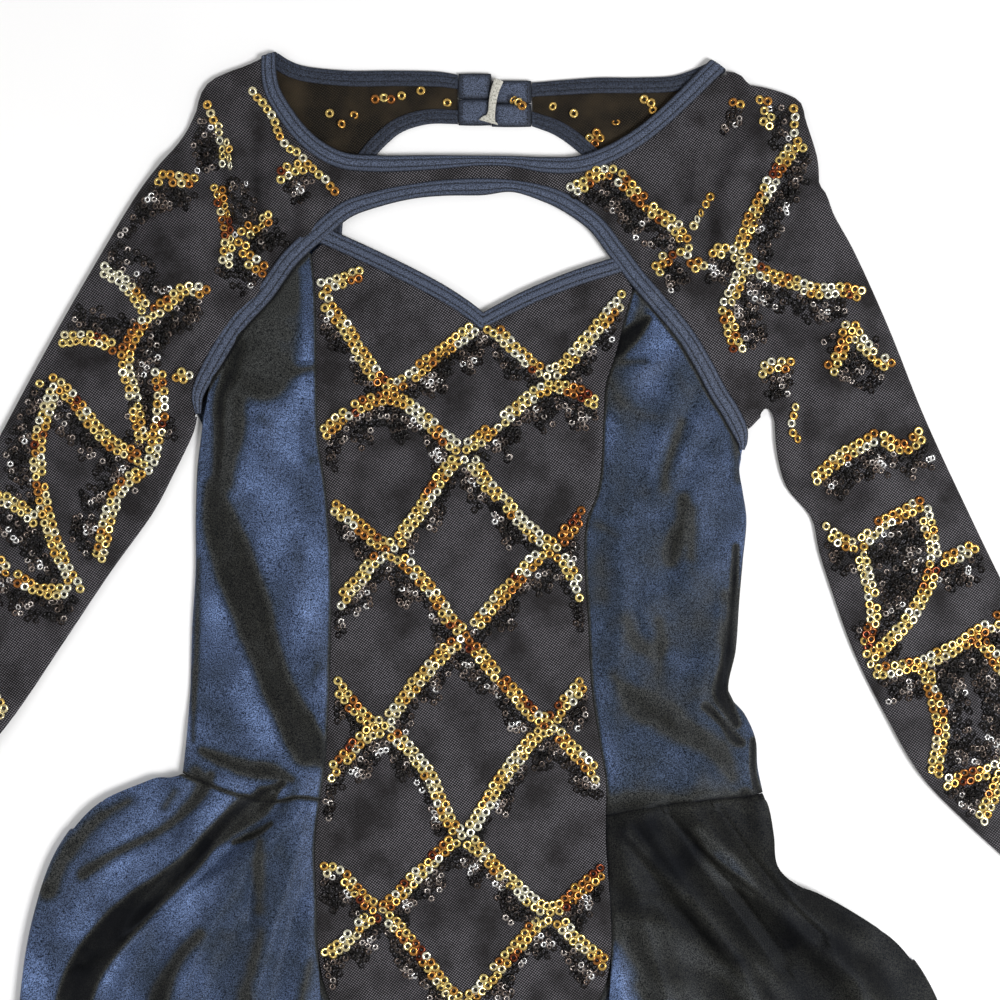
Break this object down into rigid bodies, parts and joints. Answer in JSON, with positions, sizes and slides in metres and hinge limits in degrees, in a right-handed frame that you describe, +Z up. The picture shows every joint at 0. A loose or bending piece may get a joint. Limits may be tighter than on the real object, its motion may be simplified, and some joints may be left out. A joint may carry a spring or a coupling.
{
  "type": "sequin biketard",
  "caption": "Child's long-sleeved dance biketard laid flat, with sheer sequin yoke and centre front, satin sides, keyhole back and flared side skirts over bike-short legs.",
  "frame": {"origin": "underside of the back panel at chest height, on the middle of the garment as it lies face up on a table", "axes": "+Z up from the table through the garment's front, +Y towards the neck, +X towards the sleeve on the right of the garment as it lies"},
  "size_m": [0.7499, 0.6853, 0.0188],
  "materials": {
    "navy_satin": "stretch satin with a soft sheen",
    "sequin_mesh": "matt sheer stretch net",
    "navy_binding": "matt stretch binding",
    "clear_clasp": "milky clear moulding",
    "gold_sequins": "metallised cup sequins",
    "black_sequins": "glossy cup sequins",
    "thread": "matt sewing thread"
  },
  "bodies": {
    "root": {"centre_front": "sequin_mesh", "side_front_left": "navy_satin", "side_front_right": "navy_satin", "back": "navy_satin", "yoke_sleeve_left": "sequin_mesh", "yoke_sleeve_right": "sequin_mesh", "leg_left": "navy_satin", "leg_right": "navy_satin", "skirt_left": "navy_satin", "skirt_right": "navy_satin", "arch_binding": "navy_binding", "neck_binding": "navy_binding", "sweetheart_binding": "navy_binding", "keyhole_binding": "navy_binding", "tab_left_upper": "navy_binding", "tab_left_lower": "navy_binding", "tab_right_upper": "navy_binding", "tab_right_lower": "navy_binding", "clasp": "clear_clasp"}
  },
  "joints": []
}
